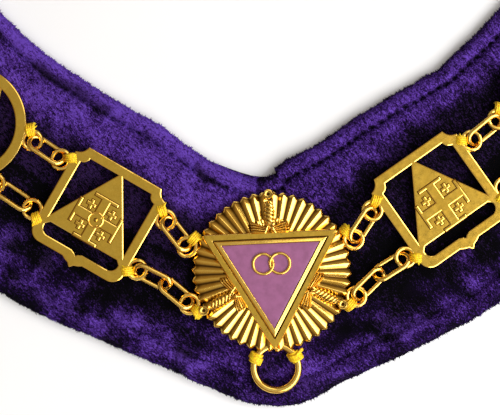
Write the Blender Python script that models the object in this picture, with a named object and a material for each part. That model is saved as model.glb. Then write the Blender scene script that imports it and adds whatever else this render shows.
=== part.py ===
"""A masonic chain collar lying flat: a padded velvet band that closes in a loop round the neck,
with a double gold chain of pierced plates on it and a sunburst medallion at the point of its V.

Metres, +Z up. The band lies on the floor, its V points to -Y, and the origin is under the middle
of the whole collar. The chain is laid out along one line, the chain line, that runs from the
middle of the medallion up each side and round the back of the neck.
"""
import bpy
from math import asin, atan2, cos, hypot, pi, radians, sin, sqrt
from mathutils import Matrix, Vector

MM = 0.001

# Clearances
SEAT_GAP = 0.3 * MM            # between pieces that lie on or in each other
WIRE_GAP = 0.35 * MM           # between two wires where a link passes through a loop

# Velvet band
CHAIN_HALF_WIDTH = 183.0 * MM  # from the middle of the collar out to the chain line at its widest
CHAIN_HEIGHT = 400.0 * MM      # from the medallion's middle up to the chain line behind the neck
BAND_WIDTH = 92.0 * MM         # across the velvet, about 3 5/8 inches
BAND_THICKNESS = 5.0 * MM      # two layers of velvet over a thin wadding
BAND_SECTIONS = 34             # on each side, from the V to the back of the neck

# Medallion
MEDALLION_DIAMETER = 67.0 * MM
MEDALLION_RAYS = 48
RAY_DEPTH = 1.1 * MM           # from a ray's ridge down to the groove beside it, at the rim
RIM_NOTCH = 0.9 * MM           # how far each groove cuts in from the tips of the rays
DOME_RISE = 1.3 * MM           # the middle of the sunburst above its rim
DOME_FLAT_DIAMETER = 26.0 * MM
TRIANGLE_SIDE = 58.0 * MM
TRIANGLE_RISE = 1.4 * MM       # the triangle's rim above the middle of the sunburst
TRIANGLE_BORDER = 3.0 * MM
TRIANGLE_BEVEL = 0.7 * MM
TRAY_DEPTH = 1.5 * MM
TRAY_SLOPE = 0.5 * MM
ENAMEL_THICKNESS = 0.8 * MM
MOTIF_DIAMETER = 9.5 * MM      # each of the two plain interlaced rings on the enamel
MOTIF_LINE = 1.1 * MM
MOTIF_THICKNESS = 0.5 * MM
MOTIF_STEP = 0.1 * MM
MOTIF_SPACING = 7.0 * MM
MOTIF_RISE = 3.5 * MM          # above the middle of the triangle
HILT_DIRECTIONS = (90, 207, 333)
HILT_GRIP = 5.0 * MM           # the sword grip's greatest thickness
HILT_POMMEL = 4.6 * MM
GUARD_LENGTH = 15.0 * MM       # the crossguard, which spreads like two fans
GUARD_WIDTH = 4.6 * MM         # near its ends
GUARD_WAIST = 2.8 * MM         # where the grip's foot stands on it
GUARD_THICKNESS = 3.0 * MM
GUARD_TUCK = 0.4 * MM          # how far the guard's edge runs into the triangle's side
GUARD_LIFT = 0.2 * MM          # the guard's underside above the middle of the grip
GRIP_SINK = 0.1 * MM           # the middle of the grip below the top of the rim
POMMEL_OVERHANG = 1.4 * MM     # how far the pommel's end stands out past the rim
RING_DIAMETER = 22.0 * MM      # the plain ring at the medallion's foot, over all
RING_WIRE = 3.2 * MM
RING_BITE = 2.4 * MM           # how far the middle of its wire passes under the medallion's rim
RING_LIFT = 0.1 * MM           # its underside above the medallion's
RIM_OVER_RING = 0.5 * MM       # how far the rim's top stands above the ring's wire

# Plates
PLATE_THICKNESS = 2.6 * MM
SQUARE_WIDTH = 43.7 * MM
SQUARE_HEIGHT = 45.0 * MM
SQUARE_BAND = 4.2 * MM
SQUARE_CORNER = 5.4 * MM       # radius of the two lower corners
SQUARE_NOTCH = 4.2 * MM        # leg of the two upper corners
SQUARE_CUSP = 3.0 * MM         # the bracket that points out of the lower edge
SQUARE_INNER_CUSP = 1.5 * MM   # and the shallower one along the band's inner edge
SLOT_HEIGHT = 5.4 * MM
SLOT_CHAMFER = 1.6 * MM        # its two upper corners
WINDOW_FOOT = 3.0 * MM         # the foot of a side window above the top of the slot
TRIANGLE_TIP = 2.4 * MM        # width of the blunt tip that meets the band's upper bar
ROUND_DIAMETER = 48.5 * MM
ROUND_BAND = 4.6 * MM
ROUND_SINK = 0.2 * MM          # the round plate's triangle lies this far below its ring's faces
CROSS_SIZE = 20.6 * MM         # the relief: a large cross whose foot lies on the triangle's base
CROSS_ARM = 4.2 * MM           # width of its arms
CROSS_END = 1.5 * MM           # thickness of the bars across their ends
CROSS_END_BAR = 11.2 * MM      # length of those bars
SMALL_CROSS = 4.2 * MM
SMALL_CROSS_BAR = 1.5 * MM
SMALL_CROSS_OUT = 4.9 * MM     # from the middle of the large cross, across and up
CROSS_RISE = 0.4 * MM
CENTRE_RING = 7.3 * MM
CENTRE_RING_BAR = 1.1 * MM
CENTRE_RING_RISE = 0.1 * MM    # above the cross
PLATES_PER_SIDE = 5            # square and round in turn, the first one square
PLATE_OVER_LOOP = 0.1 * MM     # a plate's top above the wire of its loops

# Loops soldered to the plates and the medallion, and the links between them
LOOP_DIAMETER = 9.3 * MM
LOOP_WIRE = 1.6 * MM
LOOP_SPREAD = 24.0 * MM        # between the upper and the lower loop on one side of a plate
LOOP_BITE = 0.3 * MM           # how far the middle of a loop's wire passes inside the edge
LINK_LENGTH = 18.0 * MM
LINK_WIDTH = 8.8 * MM
LINK_WIRE = 1.8 * MM
LINK_BACK = 0.9 * MM           # a link's end lies this far behind the middle of its loop
LOWER_ARCH = 1.5 * MM          # the two links of a lower run arch this far towards the neck

# Sides of the round pieces
LOOP_SIDES = 10
RING_SIDES = 16
PLATE_RING_SIDES = 24
SMALL_RING_SIDES = 12
LINK_END_STEPS = 4             # round each half-turn at a link's end
WIRE_SIDES = 5
RING_WIRE_SIDES = 6
GRIP_SIDES = 6
CORNER_STEPS = 3

# Levels above the floor
BAND_TOP = BAND_THICKNESS
METAL_BASE = BAND_TOP + SEAT_GAP
LINK_HALF_WIDTH = (LINK_WIDTH - LINK_WIRE) / 2
LINK_HALF_LENGTH = (LINK_LENGTH - LINK_WIRE) / 2
LINK_DROP = (LINK_WIRE + LOOP_WIRE) / 2 + WIRE_GAP
LINK_ROLL = asin(LINK_DROP / LINK_HALF_WIDTH)
LOOP_LEVEL = METAL_BASE + LINK_WIRE / 2 + LINK_DROP
PLATE_TOP = LOOP_LEVEL + LOOP_WIRE / 2 + PLATE_OVER_LOOP
PLATE_BOTTOM = PLATE_TOP - PLATE_THICKNESS
RIM_TOP = METAL_BASE + RING_WIRE + RIM_OVER_RING
DOME_TOP = RIM_TOP + DOME_RISE
TRIANGLE_TOP = DOME_TOP + TRIANGLE_RISE

# The chain line and how far the velvet reaches to either side of it. across is a share of
# CHAIN_HALF_WIDTH and up of CHAIN_HEIGHT; neck and outer are shares of BAND_WIDTH.
CHAIN_LINE = (
    # across, up, neck, outer
    (0.000, 0.0000, 0.442, 0.618),
    (0.054, 0.0015, 0.456, 0.605),
    (0.108, 0.0058, 0.470, 0.572),
    (0.246, 0.0300, 0.487, 0.530),
    (0.396, 0.0700, 0.494, 0.545),
    (0.541, 0.1165, 0.493, 0.545),
    (0.691, 0.1760, 0.480, 0.543),
    (0.821, 0.2420, 0.474, 0.538),
    (0.918, 0.3190, 0.470, 0.532),
    (0.978, 0.4040, 0.468, 0.526),
    (1.000, 0.4920, 0.466, 0.520),
    (0.964, 0.6230, 0.464, 0.500),
    (0.864, 0.7455, 0.462, 0.485),
    (0.706, 0.8505, 0.460, 0.474),
    (0.500, 0.9310, 0.460, 0.466),
    (0.258, 0.9820, 0.460, 0.460),
    (0.000, 1.0000, 0.460, 0.460),
)

# The band's section. across is 1 at the neck edge and -1 at the outer edge; height is a share of
# BAND_THICKNESS. A rolled edge and the crease of its stitching run along either side.
BAND_PROFILE = (
    # across, height
    (0.960, 0.00),
    (1.000, 0.42),
    (0.965, 0.86),
    (0.900, 0.98),
    (0.835, 0.78),
    (0.750, 1.00),
    (-0.730, 1.00),
    (-0.800, 0.78),
    (-0.885, 0.98),
    (-0.960, 0.86),
    (-1.000, 0.42),
    (-0.955, 0.00),
)

# A sword's grip and pommel. along is a share of the way from the guard to the pommel's end,
# thick is a share of HILT_GRIP up to the collar and of HILT_POMMEL after it.
GRIP_PROFILE = ((0.00, 0.62), (0.18, 0.80), (0.42, 1.00), (0.62, 0.72), (0.68, 0.50))
POMMEL_PROFILE = ((0.72, 0.60), (0.79, 0.95), (0.89, 1.00), (0.96, 0.70), (1.00, 0.25))

# The crossguard. along is a share of GUARD_LENGTH from its middle, and spread is how much of the
# way from GUARD_WAIST to GUARD_WIDTH it has spread there.
GUARD_PROFILE = ((-0.50, 0.8), (-0.42, 1.0), (-0.10, 0.0), (0.10, 0.0), (0.42, 1.0), (0.50, 0.8))

# A square plate's edge. The cusp runs out from its tip and the notch from the side up to the
# top; out and down are shares of SQUARE_CUSP in the one and of SQUARE_NOTCH in the other.
CUSP_PROFILE = ((0.0, 1.0), (0.8, 0.4), (1.6, 0.0))
NOTCH_PROFILE = ((0.00, 1.00), (0.45, 0.62), (0.62, 0.45), (1.00, 0.00))

VELVET_PURPLE = (0.060, 0.022, 0.190)
GOLD = (0.830, 0.560, 0.120)
ENAMEL_MAUVE = (0.400, 0.110, 0.430)


def clear_scene():
    for item in list(bpy.data.objects):
        bpy.data.objects.remove(item, do_unlink=True)


def make_material(name, color, roughness, metallic):
    material = bpy.data.materials.new(name)
    material.use_nodes = True
    shader = material.node_tree.nodes["Principled BSDF"]
    shader.inputs["Base Color"].default_value = (*color, 1.0)
    shader.inputs["Roughness"].default_value = roughness
    shader.inputs["Metallic"].default_value = metallic
    return material


def add_mesh(name, vertices, faces):
    mesh = bpy.data.meshes.new(name)
    mesh.from_pydata([tuple(point) for point in vertices], [], faces)
    mesh.update()
    item = bpy.data.objects.new(name, mesh)
    bpy.context.scene.collection.objects.link(item)
    return item


def finish(item, material, smooth=False):
    item.data.materials.clear()
    item.data.materials.append(material)
    if smooth:
        item.data.shade_smooth()
        item.data.set_sharp_from_angle(angle=radians(50))
    return item


def loft(name, loops, closed=False):
    """Join loops of as many points each, which turn left as seen from the last loop."""
    count = len(loops[0])
    vertices = [point for loop in loops for point in loop]
    faces = []
    for row in range(len(loops) - (0 if closed else 1)):
        low, high = row * count, (row + 1) % len(loops) * count
        for i in range(count):
            j = (i + 1) % count
            faces.append((low + i, low + j, high + j))
            faces.append((low + i, high + j, high + i))
    if not closed:
        last = (len(loops) - 1) * count
        faces.append(tuple(reversed(range(count))))
        faces.append(tuple(range(last, last + count)))
    return add_mesh(name, vertices, faces)


def prism(name, outline, bottom, top):
    """A solid with straight walls over an outline that turns left."""
    return loft(name, [[(x, y, level) for x, y in outline] for level in (bottom, top)])


def combine(name, body, cut=(), solder=()):
    """Cut pieces out of a body, then solder others to it; what is left is one solid."""
    for piece, operation in [(p, "DIFFERENCE") for p in cut] + [(p, "UNION") for p in solder]:
        step = body.modifiers.new(operation.lower(), "BOOLEAN")
        step.operation = operation
        step.solver = "EXACT"
        step.object = piece
    bpy.context.view_layer.update()
    graph = bpy.context.evaluated_depsgraph_get()
    mesh = bpy.data.meshes.new_from_object(body.evaluated_get(graph))
    mesh.name = name
    combined = bpy.data.objects.new(name, mesh)
    bpy.context.scene.collection.objects.link(combined)
    for piece in (body, *cut, *solder):
        bpy.data.objects.remove(piece, do_unlink=True)
    return combined


def ring_prism(name, centre, diameter, bar, sides, bottom, top):
    """A flat ring with straight walls."""
    turn = pi / sides
    outer = prism(name, moved(circle(diameter, sides, turn), centre), bottom, top)
    hole = prism("hole", moved(circle(diameter - 2 * bar, sides, turn), centre),
                 bottom - bar, top + bar)
    return combine(name, outer, cut=[hole])


def circle(diameter, sides, turn=0.0):
    radius = diameter / 2
    steps = [turn + 2 * pi * i / sides for i in range(sides)]
    return [(radius * cos(a), radius * sin(a)) for a in steps]


def moved(points, offset):
    return [(x + offset[0], y + offset[1]) for x, y in points]


def arc(centre, radius, start, end, steps):
    angles = [radians(start + (end - start) * i / steps) for i in range(steps + 1)]
    return [(centre[0] + radius * cos(a), centre[1] + radius * sin(a)) for a in angles]


def wire_ring(name, path, wire, wire_sides):
    """A closed wire round a flat path that turns left, given with its outward directions."""
    loops = []
    for (x, y), (out_x, out_y) in path:
        section = []
        for i in range(wire_sides):
            angle = pi / 2 + 2 * pi * i / wire_sides
            reach, rise = wire / 2 * cos(angle), wire / 2 * sin(angle)
            section.append((x - out_x * reach, y - out_y * reach, rise))
        loops.append(section)
    return loft(name, loops, closed=True)


def round_ring(name, diameter, wire, sides, wire_sides):
    directions = circle(2.0, sides)
    path = [((x * (diameter - wire) / 2, y * (diameter - wire) / 2), (x, y)) for x, y in directions]
    return wire_ring(name, path, wire, wire_sides)


class ChainLine:
    """The smooth line through the rows of CHAIN_LINE, measured along its length."""

    STEPS = 40  # between two rows

    def __init__(self):
        rows = [(across * CHAIN_HALF_WIDTH, up * CHAIN_HEIGHT, neck * BAND_WIDTH, outer * BAND_WIDTH)
                for across, up, neck, outer in CHAIN_LINE]
        knots = [0.0]
        for a, b in zip(rows, rows[1:]):
            knots.append(knots[-1] + hypot(b[0] - a[0], b[1] - a[1]))
        slopes = []
        for i in range(len(rows)):
            before, after = max(i - 1, 0), min(i + 1, len(rows) - 1)
            span = knots[after] - knots[before]
            slopes.append([(b - a) / span for a, b in zip(rows[before], rows[after])])
        # Both ends lie level, and only the neck edge has a corner there, at the V.
        slopes[0] = [1.0, 0.0, slopes[0][2], 0.0]
        slopes[-1] = [-1.0, 0.0, 0.0, 0.0]
        self.points = []
        for i in range(len(rows) - 1):
            span = knots[i + 1] - knots[i]
            for step in range(self.STEPS + (i == len(rows) - 2)):
                t = step / self.STEPS
                blend = (2 * t**3 - 3 * t**2 + 1, (t**3 - 2 * t**2 + t) * span,
                         3 * t**2 - 2 * t**3, (t**3 - t**2) * span)
                parts = zip(rows[i], slopes[i], rows[i + 1], slopes[i + 1])
                self.points.append([sum(k * v for k, v in zip(blend, part)) for part in parts])
        self.lengths = [0.0]
        for a, b in zip(self.points, self.points[1:]):
            self.lengths.append(self.lengths[-1] + hypot(b[0] - a[0], b[1] - a[1]))
        self.length = self.lengths[-1]
        self.middle = (self.points[-1][1] + self.points[-1][3] + self.points[0][1]
                       - self.points[0][3]) / 2

    def at(self, along):
        """The point, the direction and the velvet's reach to either side; -along is the left."""
        side = -1 if along < 0 else 1
        distance = min(abs(along), self.length)
        i = 0
        while i < len(self.points) - 2 and self.lengths[i + 1] < distance:
            i += 1
        a, b = self.points[i], self.points[i + 1]
        share = (distance - self.lengths[i]) / (self.lengths[i + 1] - self.lengths[i])
        x, y, neck, outer = [p + (q - p) * share for p, q in zip(a, b)]
        before, after = self.points[max(i - 1, 0)], self.points[min(i + 2, len(self.points) - 1)]
        turn = atan2(after[1] - before[1], after[0] - before[0])
        if distance == 0:
            turn = 0.0
        if distance == self.length:
            turn = pi
        return Vector((side * x, y - self.middle, 0)), side * turn, neck, outer


def build_band(line, material):
    """The velvet band: one section after another, from the V round the neck and back."""
    sections = []
    for j in range(2 * BAND_SECTIONS):
        along = line.length * j / BAND_SECTIONS
        mirror = 1
        if j > BAND_SECTIONS:
            along, mirror = 2 * line.length - along, -1
        point, turn, neck, outer = line.at(along)
        neckward = Vector((-sin(turn), cos(turn), 0))
        section = []
        for across, height in BAND_PROFILE:
            reach = neck * across if across > 0 else outer * across
            spot = point + neckward * reach
            section.append((mirror * spot.x, spot.y, height * BAND_THICKNESS))
        sections.append(section)
    return finish(loft("velvet_band", sections, closed=True), material, smooth=True)


def triangle_loop(side, level):
    """An upside-down triangle with equal sides."""
    reach = side / sqrt(3)
    return [(reach * cos(radians(a)), reach * sin(radians(a)), level) for a in (30, 150, 270)]


def sunburst():
    radius = MEDALLION_DIAMETER / 2
    rim, crest, middle = [], [], []
    for i in range(2 * MEDALLION_RAYS):
        angle = pi * i / MEDALLION_RAYS
        groove = i % 2
        reach = radius - RIM_NOTCH * groove
        rim.append((reach * cos(angle), reach * sin(angle), METAL_BASE))
        crest.append((reach * cos(angle), reach * sin(angle), RIM_TOP - RAY_DEPTH * groove))
        inner = DOME_FLAT_DIAMETER / 2
        middle.append((inner * cos(angle), inner * sin(angle), DOME_TOP))
    return loft("sunburst", [rim, crest, middle])


def triangle_frame():
    """The raised triangle with its flat border and the tray that holds the enamel."""
    inset = 2 * sqrt(3)
    top_side = TRIANGLE_SIDE - inset * TRIANGLE_BEVEL
    tray_side = top_side - inset * TRIANGLE_BORDER
    loops = [
        triangle_loop(TRIANGLE_SIDE, METAL_BASE + RING_WIRE / 2),
        triangle_loop(TRIANGLE_SIDE, TRIANGLE_TOP - TRIANGLE_BEVEL),
        triangle_loop(top_side, TRIANGLE_TOP),
        triangle_loop(tray_side, TRIANGLE_TOP),
        triangle_loop(tray_side - inset * TRAY_SLOPE, TRIANGLE_TOP - TRAY_DEPTH),
    ]
    return loft("triangle_frame", loops)


def sword_hilt(direction):
    """A grip and pommel that lie along one ray, and the guard across them."""
    foot = TRIANGLE_SIDE / (2 * sqrt(3)) - GUARD_TUCK
    start = foot + GUARD_WAIST / 2
    reach = MEDALLION_DIAMETER / 2 + POMMEL_OVERHANG - start
    level = RIM_TOP - GRIP_SINK
    turn = Matrix.Rotation(radians(direction), 4, "Z")
    rows = [(along, thick * HILT_GRIP) for along, thick in GRIP_PROFILE]
    rows += [(along, thick * HILT_POMMEL) for along, thick in POMMEL_PROFILE]
    loops = []
    for along, thick in rows:
        ring = circle(thick, GRIP_SIDES, turn=pi / GRIP_SIDES)
        loops.append([turn @ Vector((start + along * reach, y, level + z)) for y, z in ring])
    grip = loft("grip", loops)
    bars = []
    low = level + GUARD_LIFT
    high = low + GUARD_THICKNESS
    for along, spread in GUARD_PROFILE:
        crest = foot + GUARD_WAIST + (GUARD_WIDTH - GUARD_WAIST) * spread
        corners = ((foot, low), (crest, low), (crest, high), (foot, high))
        bars.append([turn @ Vector((x, along * GUARD_LENGTH, z)) for x, z in corners])
    guard = loft("guard", list(reversed(bars)))
    return [grip, guard]


def place_loop(name, spot):
    ring = round_ring(name, LOOP_DIAMETER, LOOP_WIRE, LOOP_SIDES, WIRE_SIDES)
    ring.data.transform(Matrix.Translation((spot[0], spot[1], LOOP_LEVEL)))
    return ring


def loop_spots(reach):
    """The middles of a piece's four loops: reach is from its middle to their centre line."""
    return {(side, level): (side * reach, level * LOOP_SPREAD / 2)
            for side in (-1, 1) for level in (-1, 1)}


def loop_offset():
    """From an edge out to the middle of the loop soldered to it."""
    return (LOOP_DIAMETER - LOOP_WIRE) / 2 - LOOP_BITE


def round_reach(diameter):
    return sqrt((diameter / 2 + loop_offset())**2 - (LOOP_SPREAD / 2)**2)


def build_medallion(material):
    pieces = [triangle_frame()]
    for direction in HILT_DIRECTIONS:
        pieces += sword_hilt(direction)
    pieces += loops_of(round_reach(MEDALLION_DIAMETER))
    ring = round_ring("foot", RING_DIAMETER, RING_WIRE, RING_SIDES, RING_WIRE_SIDES)
    low = MEDALLION_DIAMETER / 2 - RING_BITE + (RING_DIAMETER - RING_WIRE) / 2
    ring.data.transform(Matrix.Translation((0, -low, METAL_BASE + RING_WIRE / 2 + RING_LIFT)))
    pieces.append(ring)
    return finish(combine("medallion", sunburst(), solder=pieces), material)


def build_enamel(material):
    """The enamel fills the tray up to a little under its border."""
    inset = 2 * sqrt(3)
    floor_side = (TRIANGLE_SIDE - inset * (TRIANGLE_BEVEL + TRIANGLE_BORDER + TRAY_SLOPE)
                  - inset * SEAT_GAP)
    bottom = TRIANGLE_TOP - TRAY_DEPTH + SEAT_GAP
    loops = [triangle_loop(floor_side, bottom), triangle_loop(floor_side, bottom + ENAMEL_THICKNESS)]
    return finish(loft("enamel_inlay", loops), material)


def build_motif(material):
    """Two plain rings, one passing through the other, flat on the enamel."""
    bottom = TRIANGLE_TOP - TRAY_DEPTH + ENAMEL_THICKNESS + 2 * SEAT_GAP
    rings = []
    for side in (-1, 1):
        # One ring stands a hair higher, so that no two faces of the pair share a plane.
        step = MOTIF_STEP * (side + 1) / 2
        rings.append(ring_prism("ring", (side * MOTIF_SPACING / 2, MOTIF_RISE), MOTIF_DIAMETER,
                                MOTIF_LINE, SMALL_RING_SIDES, bottom + step,
                                bottom + step + MOTIF_THICKNESS))
    return finish(combine("enamel_motif", rings[0], solder=rings[1:]), material)


def square_outline(inset):
    """The square plate's edge, or with an inset the inner edge of its band."""
    half, top = SQUARE_WIDTH / 2 - inset, SQUARE_HEIGHT / 2 - inset
    radius = SQUARE_CORNER - inset / 2
    cusp = SQUARE_INNER_CUSP if inset else SQUARE_CUSP
    side = [(out * cusp, -top - down * cusp) for out, down in CUSP_PROFILE]
    side += arc((half - radius, radius - top), radius, -90, 0, CORNER_STEPS)
    side += [(half - out * SQUARE_NOTCH, top - down * SQUARE_NOTCH) for out, down in NOTCH_PROFILE]
    mirrored = [(-x, y) for x, y in reversed(side) if x > 0]
    return side + mirrored


def square_windows():
    """The two side windows and the slot that leave an upright triangle standing in the frame."""
    half, top = SQUARE_WIDTH / 2 - SQUARE_BAND, SQUARE_HEIGHT / 2 - SQUARE_BAND
    base = -top + SLOT_HEIGHT
    outline = square_outline(SQUARE_BAND)
    right_top = [p for p in outline if p[0] > 0 and p[1] > 0]
    window = [(half, base + WINDOW_FOOT)] + right_top + [(TRIANGLE_TIP / 2, top)]
    left_window = [(-x, y) for x, y in reversed(window)]
    slot = [p for p in outline if p[1] < base - SLOT_CHAMFER]
    low_right = [p for p in slot if p[0] > 0]
    low_left = [p for p in slot if p[0] < 0]
    centre = [p for p in slot if p[0] == 0]
    slot = centre + low_right + [(half, base - SLOT_CHAMFER), (half - SLOT_CHAMFER, base)]
    slot += [(SLOT_CHAMFER - half, base), (-half, base - SLOT_CHAMFER)] + low_left
    return window, left_window, slot


def cross_outline(size, width, end=None):
    """A cross of four equal arms; end is the thickness and length of a bar across each tip."""
    reach, half = size / 2, width / 2
    arm = [(reach, -half), (reach, half)]
    if end:
        neck, tip = reach - end[0], end[1] / 2
        arm = [(neck, -half), (neck, -tip), (reach, -tip), (reach, tip), (neck, tip), (neck, half)]
    points = []
    for quarter in range(4):
        turn = Matrix.Rotation(quarter * pi / 2, 2)
        points += [tuple(turn @ Vector(p)) for p in arm + [(half, half)]]
    return points


def crosses(with_ring):
    """The low relief on the triangle: a cross with barred ends and four small ones round it."""
    bottom, top = PLATE_TOP - PLATE_THICKNESS / 2, PLATE_TOP + CROSS_RISE
    base = -SQUARE_HEIGHT / 2 + SQUARE_BAND + SLOT_HEIGHT
    middle = base + CROSS_SIZE / 2
    large = cross_outline(CROSS_SIZE, CROSS_ARM, (CROSS_END, CROSS_END_BAR))
    relief = [prism("cross", moved(large, (0, middle)), bottom, top)]
    if with_ring:
        relief.append(ring_prism("ring", (0, middle), CENTRE_RING, CENTRE_RING_BAR, SMALL_RING_SIDES,
                                 bottom - CENTRE_RING_RISE, top + CENTRE_RING_RISE))
    small = cross_outline(SMALL_CROSS, SMALL_CROSS_BAR)
    for x in (-SMALL_CROSS_OUT, SMALL_CROSS_OUT):
        for y in (-SMALL_CROSS_OUT, SMALL_CROSS_OUT):
            relief.append(prism("small_cross", moved(small, (x, middle + y)), bottom, top))
    return relief


def loops_of(reach, sides=(-1, 1)):
    return [place_loop("loop", spot) for (side, _), spot in loop_spots(reach).items() if side in sides]


def square_plate(name, with_ring, sides, material):
    """The windows cut through the relief too, so that it ends at the triangle's sides."""
    plate = prism("plate", square_outline(0), PLATE_BOTTOM, PLATE_TOP)
    relief = combine("relief", plate, solder=crosses(with_ring))
    windows = [prism("window", rim, PLATE_BOTTOM - MM, PLATE_TOP + MM) for rim in square_windows()]
    loops = loops_of(SQUARE_WIDTH / 2 + loop_offset(), sides)
    return finish(combine(name, relief, cut=windows, solder=loops), material)


def round_plate(name, sides, material):
    """A ring round an upright triangle that meets it at its three corners."""
    ring = ring_prism("plate", (0, 0), ROUND_DIAMETER, ROUND_BAND, PLATE_RING_SIDES,
                      PLATE_BOTTOM, PLATE_TOP)
    reach = ROUND_DIAMETER / 2 - ROUND_BAND / 2
    corners = [(reach * cos(radians(a)), reach * sin(radians(a))) for a in (90, 210, 330)]
    triangle = prism("triangle", corners, PLATE_BOTTOM + ROUND_SINK, PLATE_TOP - ROUND_SINK)
    pieces = [triangle] + loops_of(round_reach(ROUND_DIAMETER), sides)
    return finish(combine(name, ring, solder=pieces), material)


class Station:
    """A piece of the chain: its place on the chain line and its loops in the collar's frame."""

    def __init__(self, line, along, reach):
        point, turn, _, _ = line.at(along)
        self.along = along
        self.reach = reach
        self.place = Matrix.Translation(point) @ Matrix.Rotation(turn, 4, "Z")
        self.loops = {key: self.place @ Vector((x, y, LOOP_LEVEL))
                      for key, (x, y) in loop_spots(reach).items()}


def next_station(line, last, side, reach):
    """Move out along the line until one link spans the two upper loops."""
    span = LINK_LENGTH - LINK_WIRE - 2 * LINK_BACK
    near, far = abs(last.along), line.length
    for _ in range(40):
        along = (near + far) / 2
        station = Station(line, side * along, reach)
        apart = (station.loops[-side, 1] - last.loops[side, 1]).length
        if apart < span or along < abs(last.along) + last.reach + reach:
            near = along
        else:
            far = along
    return Station(line, side * far, reach)


def oval_link(name, centre, direction, material):
    """An oval link with its long axis along a direction, rolled about it to pass a flat loop."""
    straight = LINK_HALF_LENGTH - LINK_HALF_WIDTH
    path = []
    for side, first in ((1, -90), (-1, 90)):
        for i in range(LINK_END_STEPS + 1):
            angle = radians(first + 180 * i / LINK_END_STEPS)
            out = (cos(angle), sin(angle))
            spot = (side * straight + LINK_HALF_WIDTH * out[0], LINK_HALF_WIDTH * out[1])
            path.append((spot, out))
    link = wire_ring(name, path, LINK_WIRE, WIRE_SIDES)
    link.matrix_world = (Matrix.Translation(centre)
                         @ Matrix.Rotation(atan2(direction.y, direction.x), 4, "Z")
                         @ Matrix.Rotation(LINK_ROLL, 4, "X"))
    return finish(link, material, smooth=True)


def build_links(prefix, last, station, side, material):
    """One link joins the upper loops of two neighbours. Two join their lower loops, which the
    bend of the collar holds further apart, or one where it is long enough."""
    start, end = last.loops[side, 1], station.loops[-side, 1]
    oval_link(prefix + "_upper", (start + end) / 2, end - start, material)
    start, end = last.loops[side, -1], station.loops[-side, -1]
    middle = (start + end) / 2
    wire_inside = (LOOP_DIAMETER - LOOP_WIRE) / 2 - LINK_DROP
    if (end - start).length / 2 < LINK_HALF_LENGTH + wire_inside:
        oval_link(prefix + "_lower", middle, end - start, material)
        return
    across = (end - start).normalized()
    neckward = Vector((-across.y, across.x, 0)) * side
    peak = middle + neckward * LOWER_ARCH
    for letter, loop in (("a", start), ("b", end)):
        direction = (peak - loop).normalized()
        centre = loop + direction * (LINK_HALF_LENGTH - LINK_BACK)
        oval_link(prefix + "_lower_" + letter, centre, direction, material)


def build():
    clear_scene()
    line = ChainLine()
    build_band(line, make_material("purple velvet", VELVET_PURPLE, 0.9, 0.0))
    middle = Station(line, 0.0, round_reach(MEDALLION_DIAMETER))
    for item in (build_medallion(make_material("medallion gold", GOLD, 0.25, 1.0)),
                 build_enamel(make_material("mauve enamel", ENAMEL_MAUVE, 0.25, 0.0)),
                 build_motif(make_material("motif gold", GOLD, 0.3, 1.0))):
        item.matrix_world = middle.place
    for side, word in ((-1, "left"), (1, "right")):
        last = middle
        for number in range(1, PLATES_PER_SIDE + 1):
            square = number % 2 == 1
            reach = SQUARE_WIDTH / 2 + loop_offset() if square else round_reach(ROUND_DIAMETER)
            station = next_station(line, last, side, reach)
            name = f"{'square' if square else 'round'}_plate_{word}_{number}"
            material = make_material(name + " gold", GOLD, 0.35, 1.0)
            # Nothing is linked to the last plate's far side, so it has loops on its near side only.
            sides = (-side,) if number == PLATES_PER_SIDE else (-1, 1)
            plate = (square_plate(name, side < 0, sides, material) if square
                     else round_plate(name, sides, material))
            plate.matrix_world = station.place
            link_gold = make_material(f"link gold {word} {number}", GOLD, 0.25, 1.0)
            build_links(f"link_{word}_{number}", last, station, side, link_gold)
            last = station


build()
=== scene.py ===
"""The looks of the chain collar: velvet, gold, enamel and thread, the floor, the light and the camera.

Metres, in the same frame as the CAD model. Each metal piece is made again from the sizes that it
has there, with its real roundings and relief, and it stands where its CAD node is.
"""
from math import asin, atan2, cos, hypot, pi, radians, sin, sqrt

import bpy
import numpy as np
from mathutils import Matrix, Vector, noise


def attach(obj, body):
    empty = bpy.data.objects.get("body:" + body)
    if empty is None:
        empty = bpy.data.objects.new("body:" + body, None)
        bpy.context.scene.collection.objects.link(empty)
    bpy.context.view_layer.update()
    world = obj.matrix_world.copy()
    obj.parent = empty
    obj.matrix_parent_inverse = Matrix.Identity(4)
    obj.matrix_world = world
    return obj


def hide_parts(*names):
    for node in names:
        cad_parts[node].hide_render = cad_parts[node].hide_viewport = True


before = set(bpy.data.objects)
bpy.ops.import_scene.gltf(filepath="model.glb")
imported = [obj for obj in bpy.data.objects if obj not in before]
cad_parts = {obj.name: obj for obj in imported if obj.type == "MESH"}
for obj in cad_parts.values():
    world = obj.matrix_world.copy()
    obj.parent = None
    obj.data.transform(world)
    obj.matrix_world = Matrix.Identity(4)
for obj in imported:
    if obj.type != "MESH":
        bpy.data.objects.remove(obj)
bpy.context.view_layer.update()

MM = 0.001
UP = Vector((0, 0, 1))

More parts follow.
